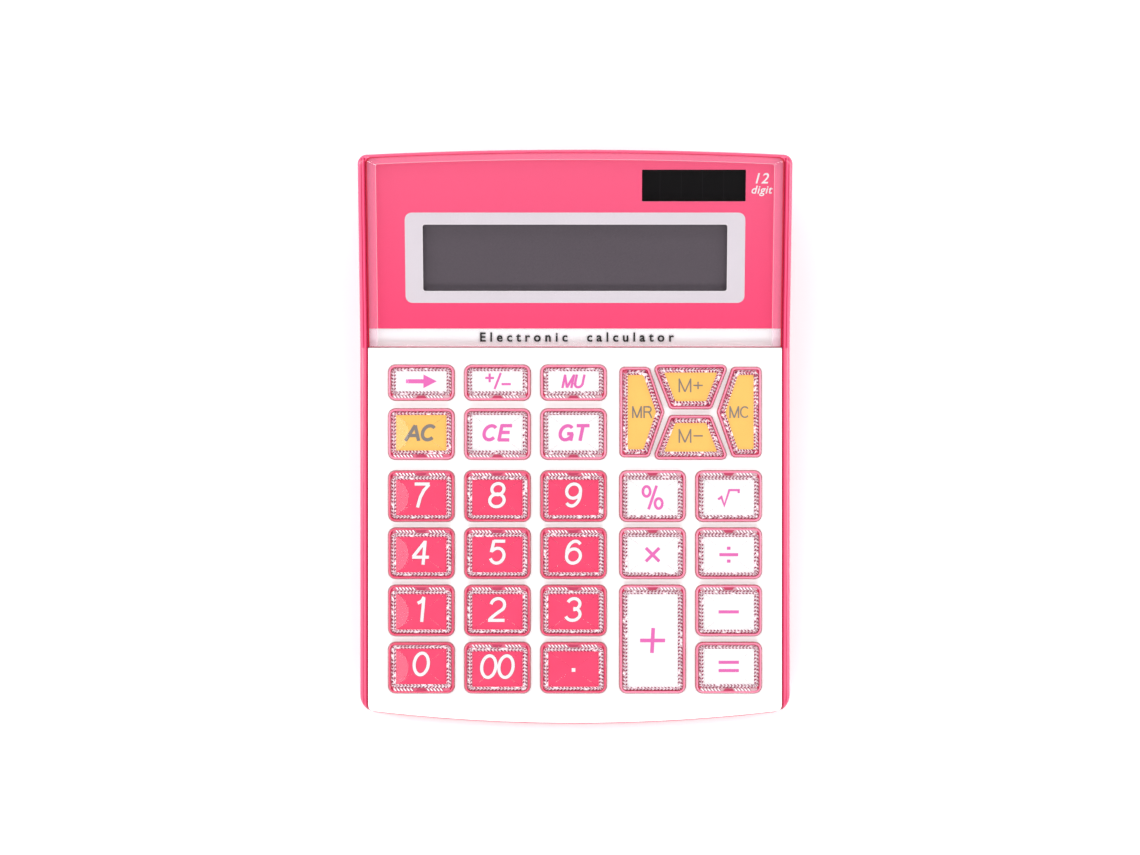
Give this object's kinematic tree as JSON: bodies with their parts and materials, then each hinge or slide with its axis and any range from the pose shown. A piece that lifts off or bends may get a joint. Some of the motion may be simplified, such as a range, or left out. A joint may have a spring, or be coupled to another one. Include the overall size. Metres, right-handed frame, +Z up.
{
  "type": "desk calculator",
  "caption": "Pink and white desk calculator with crystal-edged keys, a tilted display under a clear lens, a solar cell and one AA cell.",
  "frame": {"origin": "on the table, under the middle of the footprint", "axes": "+X right, +Y to the rear (display end), +Z up"},
  "size_m": [0.1468, 0.193, 0.0425],
  "materials": {
    "pink_plastic": "gloss",
    "white_plastic": "gloss",
    "clear_acrylic": "clear",
    "pink_print": "gloss",
    "lcd_glass": "gloss",
    "flex": "satin",
    "solar_silicon": "gloss",
    "lead_insulation": "satin",
    "circuit_board": "satin",
    "silicone_rubber": "matte",
    "black_epoxy": "satin",
    "battery_wrap": "satin",
    "plated_steel": "polished",
    "foot_rubber": "matte",
    "screw_steel": "satin",
    "key_crystal_pink": "gloss"
  },
  "bodies": {
    "root": {"battery_cell": "battery_wrap", "battery_contact_negative": "plated_steel", "battery_contact_positive": "plated_steel", "battery_leads": "lead_insulation", "board_components": "black_epoxy", "board_screws": "screw_steel", "bottom_case": "pink_plastic", "case_screws": "screw_steel", "controller_blob": "black_epoxy", "display_lens": "clear_acrylic", "display_mask": "pink_print", "keymat": "silicone_rubber", "lcd_connector": "flex", "lcd_frame": "white_plastic", "lcd_panel": "lcd_glass", "lcd_screws": "screw_steel", "main_board": "circuit_board", "rubber_feet": "foot_rubber", "solar_cell": "solar_silicon", "solar_leads": "lead_insulation", "top_case": "white_plastic"},
    "battery_door": {"battery_door": "pink_plastic"},
    "key_backspace": {"key_backspace": "key_crystal_pink"},
    "key_sign": {"key_sign": "key_crystal_pink"},
    "key_mu": {"key_mu": "key_crystal_pink"},
    "key_ac": {"key_ac": "key_crystal_pink"},
    "key_ce": {"key_ce": "key_crystal_pink"},
    "key_gt": {"key_gt": "key_crystal_pink"},
    "key_mr": {"key_mr": "key_crystal_pink"},
    "key_mc": {"key_mc": "key_crystal_pink"},
    "key_m_plus": {"key_m_plus": "key_crystal_pink"},
    "key_m_minus": {"key_m_minus": "key_crystal_pink"},
    "key_percent": {"key_percent": "key_crystal_pink"},
    "key_root": {"key_root": "key_crystal_pink"},
    "key_multiply": {"key_multiply": "key_crystal_pink"},
    "key_divide": {"key_divide": "key_crystal_pink"},
    "key_plus": {"key_plus": "key_crystal_pink"},
    "key_minus": {"key_minus": "key_crystal_pink"},
    "key_equals": {"key_equals": "key_crystal_pink"},
    "key_0": {"key_0": "key_crystal_pink"},
    "key_00": {"key_00": "key_crystal_pink"},
    "key_point": {"key_point": "key_crystal_pink"},
    "key_1": {"key_1": "key_crystal_pink"},
    "key_2": {"key_2": "key_crystal_pink"},
    "key_3": {"key_3": "key_crystal_pink"},
    "key_4": {"key_4": "key_crystal_pink"},
    "key_5": {"key_5": "key_crystal_pink"},
    "key_6": {"key_6": "key_crystal_pink"},
    "key_7": {"key_7": "key_crystal_pink"},
    "key_8": {"key_8": "key_crystal_pink"},
    "key_9": {"key_9": "key_crystal_pink"}
  },
  "joints": [
    {"name": "battery_door_slide", "type": "slide", "parent": "root", "child": "battery_door", "axis": [0, 1, 0], "range_m": [0, 0.03]},
    {"name": "key_backspace_press", "type": "slide", "parent": "root", "child": "key_backspace", "axis": [0, 0.0872, -0.9962], "range_m": [0, 0.0018], "stiffness_N_per_m": 400, "springref_m": -0.0005, "deforming": ["keymat"]},
    {"name": "key_sign_press", "type": "slide", "parent": "root", "child": "key_sign", "axis": [0, 0.0872, -0.9962], "range_m": [0, 0.0018], "stiffness_N_per_m": 400, "springref_m": -0.0005, "deforming": ["keymat"]},
    {"name": "key_mu_press", "type": "slide", "parent": "root", "child": "key_mu", "axis": [0, 0.0872, -0.9962], "range_m": [0, 0.0018], "stiffness_N_per_m": 400, "springref_m": -0.0005, "deforming": ["keymat"]},
    {"name": "key_ac_press", "type": "slide", "parent": "root", "child": "key_ac", "axis": [0, 0.0872, -0.9962], "range_m": [0, 0.0018], "stiffness_N_per_m": 400, "springref_m": -0.0005, "deforming": ["keymat"]},
    {"name": "key_ce_press", "type": "slide", "parent": "root", "child": "key_ce", "axis": [0, 0.0872, -0.9962], "range_m": [0, 0.0018], "stiffness_N_per_m": 400, "springref_m": -0.0005, "deforming": ["keymat"]},
    {"name": "key_gt_press", "type": "slide", "parent": "root", "child": "key_gt", "axis": [0, 0.0872, -0.9962], "range_m": [0, 0.0018], "stiffness_N_per_m": 400, "springref_m": -0.0005, "deforming": ["keymat"]},
    {"name": "key_mr_press", "type": "slide", "parent": "root", "child": "key_mr", "axis": [0, 0.0872, -0.9962], "range_m": [0, 0.0018], "stiffness_N_per_m": 400, "springref_m": -0.0005, "deforming": ["keymat"]},
    {"name": "key_mc_press", "type": "slide", "parent": "root", "child": "key_mc", "axis": [0, 0.0872, -0.9962], "range_m": [0, 0.0018], "stiffness_N_per_m": 400, "springref_m": -0.0005, "deforming": ["keymat"]},
    {"name": "key_m_plus_press", "type": "slide", "parent": "root", "child": "key_m_plus", "axis": [0, 0.0872, -0.9962], "range_m": [0, 0.0018], "stiffness_N_per_m": 400, "springref_m": -0.0005, "deforming": ["keymat"]},
    {"name": "key_m_minus_press", "type": "slide", "parent": "root", "child": "key_m_minus", "axis": [0, 0.0872, -0.9962], "range_m": [0, 0.0018], "stiffness_N_per_m": 400, "springref_m": -0.0005, "deforming": ["keymat"]},
    {"name": "key_percent_press", "type": "slide", "parent": "root", "child": "key_percent", "axis": [0, 0.0872, -0.9962], "range_m": [0, 0.0018], "stiffness_N_per_m": 400, "springref_m": -0.0005, "deforming": ["keymat"]},
    {"name": "key_root_press", "type": "slide", "parent": "root", "child": "key_root", "axis": [0, 0.0872, -0.9962], "range_m": [0, 0.0018], "stiffness_N_per_m": 400, "springref_m": -0.0005, "deforming": ["keymat"]},
    {"name": "key_multiply_press", "type": "slide", "parent": "root", "child": "key_multiply", "axis": [0, 0.0872, -0.9962], "range_m": [0, 0.0018], "stiffness_N_per_m": 400, "springref_m": -0.0005, "deforming": ["keymat"]},
    {"name": "key_divide_press", "type": "slide", "parent": "root", "child": "key_divide", "axis": [0, 0.0872, -0.9962], "range_m": [0, 0.0018], "stiffness_N_per_m": 400, "springref_m": -0.0005, "deforming": ["keymat"]},
    {"name": "key_plus_press", "type": "slide", "parent": "root", "child": "key_plus", "axis": [0, 0.0872, -0.9962], "range_m": [0, 0.0018], "stiffness_N_per_m": 400, "springref_m": -0.0005, "deforming": ["keymat"]},
    {"name": "key_minus_press", "type": "slide", "parent": "root", "child": "key_minus", "axis": [0, 0.0872, -0.9962], "range_m": [0, 0.0018], "stiffness_N_per_m": 400, "springref_m": -0.0005, "deforming": ["keymat"]},
    {"name": "key_equals_press", "type": "slide", "parent": "root", "child": "key_equals", "axis": [0, 0.0872, -0.9962], "range_m": [0, 0.0018], "stiffness_N_per_m": 400, "springref_m": -0.0005, "deforming": ["keymat"]},
    {"name": "key_0_press", "type": "slide", "parent": "root", "child": "key_0", "axis": [0, 0.0872, -0.9962], "range_m": [0, 0.0018], "stiffness_N_per_m": 400, "springref_m": -0.0005, "deforming": ["keymat"]},
    {"name": "key_00_press", "type": "slide", "parent": "root", "child": "key_00", "axis": [0, 0.0872, -0.9962], "range_m": [0, 0.0018], "stiffness_N_per_m": 400, "springref_m": -0.0005, "deforming": ["keymat"]},
    {"name": "key_point_press", "type": "slide", "parent": "root", "child": "key_point", "axis": [0, 0.0872, -0.9962], "range_m": [0, 0.0018], "stiffness_N_per_m": 400, "springref_m": -0.0005, "deforming": ["keymat"]},
    {"name": "key_1_press", "type": "slide", "parent": "root", "child": "key_1", "axis": [0, 0.0872, -0.9962], "range_m": [0, 0.0018], "stiffness_N_per_m": 400, "springref_m": -0.0005, "deforming": ["keymat"]},
    {"name": "key_2_press", "type": "slide", "parent": "root", "child": "key_2", "axis": [0, 0.0872, -0.9962], "range_m": [0, 0.0018], "stiffness_N_per_m": 400, "springref_m": -0.0005, "deforming": ["keymat"]},
    {"name": "key_3_press", "type": "slide", "parent": "root", "child": "key_3", "axis": [0, 0.0872, -0.9962], "range_m": [0, 0.0018], "stiffness_N_per_m": 400, "springref_m": -0.0005, "deforming": ["keymat"]},
    {"name": "key_4_press", "type": "slide", "parent": "root", "child": "key_4", "axis": [0, 0.0872, -0.9962], "range_m": [0, 0.0018], "stiffness_N_per_m": 400, "springref_m": -0.0005, "deforming": ["keymat"]},
    {"name": "key_5_press", "type": "slide", "parent": "root", "child": "key_5", "axis": [0, 0.0872, -0.9962], "range_m": [0, 0.0018], "stiffness_N_per_m": 400, "springref_m": -0.0005, "deforming": ["keymat"]},
    {"name": "key_6_press", "type": "slide", "parent": "root", "child": "key_6", "axis": [0, 0.0872, -0.9962], "range_m": [0, 0.0018], "stiffness_N_per_m": 400, "springref_m": -0.0005, "deforming": ["keymat"]},
    {"name": "key_7_press", "type": "slide", "parent": "root", "child": "key_7", "axis": [0, 0.0872, -0.9962], "range_m": [0, 0.0018], "stiffness_N_per_m": 400, "springref_m": -0.0005, "deforming": ["keymat"]},
    {"name": "key_8_press", "type": "slide", "parent": "root", "child": "key_8", "axis": [0, 0.0872, -0.9962], "range_m": [0, 0.0018], "stiffness_N_per_m": 400, "springref_m": -0.0005, "deforming": ["keymat"]},
    {"name": "key_9_press", "type": "slide", "parent": "root", "child": "key_9", "axis": [0, 0.0872, -0.9962], "range_m": [0, 0.0018], "stiffness_N_per_m": 400, "springref_m": -0.0005, "deforming": ["keymat"]}
  ]
}
